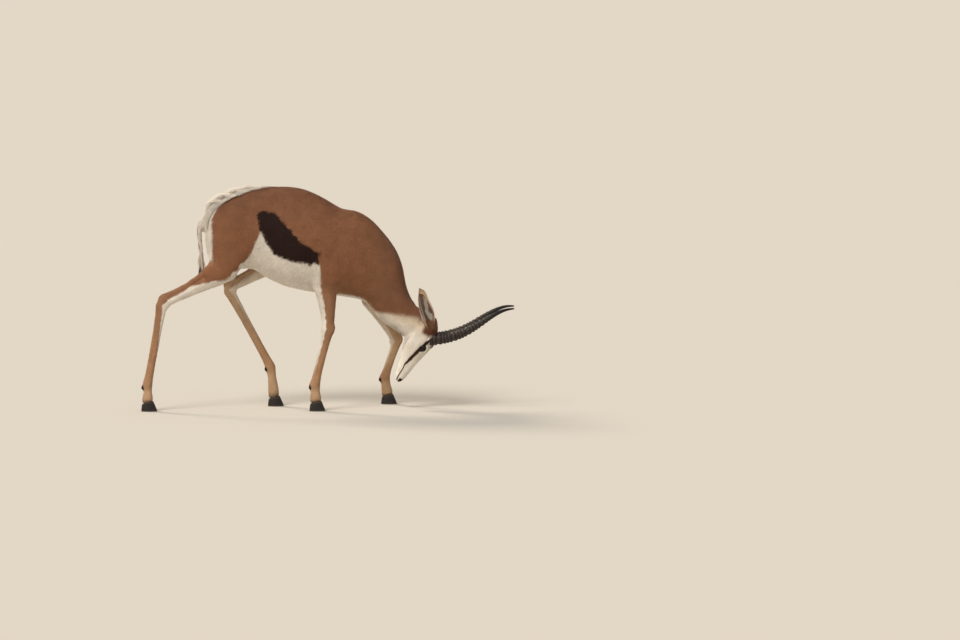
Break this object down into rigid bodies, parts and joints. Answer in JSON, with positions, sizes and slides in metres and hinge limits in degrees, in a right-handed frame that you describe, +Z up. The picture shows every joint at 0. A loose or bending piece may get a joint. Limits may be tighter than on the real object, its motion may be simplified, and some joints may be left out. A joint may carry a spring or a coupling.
{
  "type": "springbok",
  "caption": "Life-size springbok ram standing braced with its head lowered and horns forward, a still museum model on four split hooves.",
  "frame": {"origin": "middle of the model's box, on the ground under it", "axes": "+X the way the animal faces, +Y its left side, +Z up"},
  "size_m": [1.3486, 0.3242, 0.805],
  "materials": {
    "coat": "short cinnamon-brown hair, dark brown flank band, white belly",
    "face_coat": "very short white and fawn hair",
    "leg_coat": "very short pale fawn hair",
    "tail_hair": "white hair with a black tuft",
    "horn": "ringed black-brown horn, smoother towards the tip",
    "claw": "black-brown hoof horn, satin",
    "eye": "wet dark brown"
  },
  "bodies": {
    "root": {"head": "face_coat", "neck": "coat", "chest": "coat", "barrel": "coat", "rump": "coat", "tail": "tail_hair", "eye_right": "eye", "eye_left": "eye", "ear_right": "face_coat", "ear_left": "face_coat", "horn_right": "horn", "horn_left": "horn", "leg_hind_right_upper": "coat", "leg_hind_right_cannon": "leg_coat", "leg_hind_right_foot": "leg_coat", "claw_hind_right_outer": "claw", "claw_hind_right_inner": "claw", "leg_hind_left_upper": "coat", "leg_hind_left_cannon": "leg_coat", "leg_hind_left_foot": "leg_coat", "claw_hind_left_outer": "claw", "claw_hind_left_inner": "claw", "leg_fore_right_upper": "coat", "leg_fore_right_cannon": "leg_coat", "leg_fore_right_foot": "leg_coat", "claw_fore_right_outer": "claw", "claw_fore_right_inner": "claw", "leg_fore_left_upper": "coat", "leg_fore_left_cannon": "leg_coat", "leg_fore_left_foot": "leg_coat", "claw_fore_left_outer": "claw", "claw_fore_left_inner": "claw"}
  },
  "joints": []
}
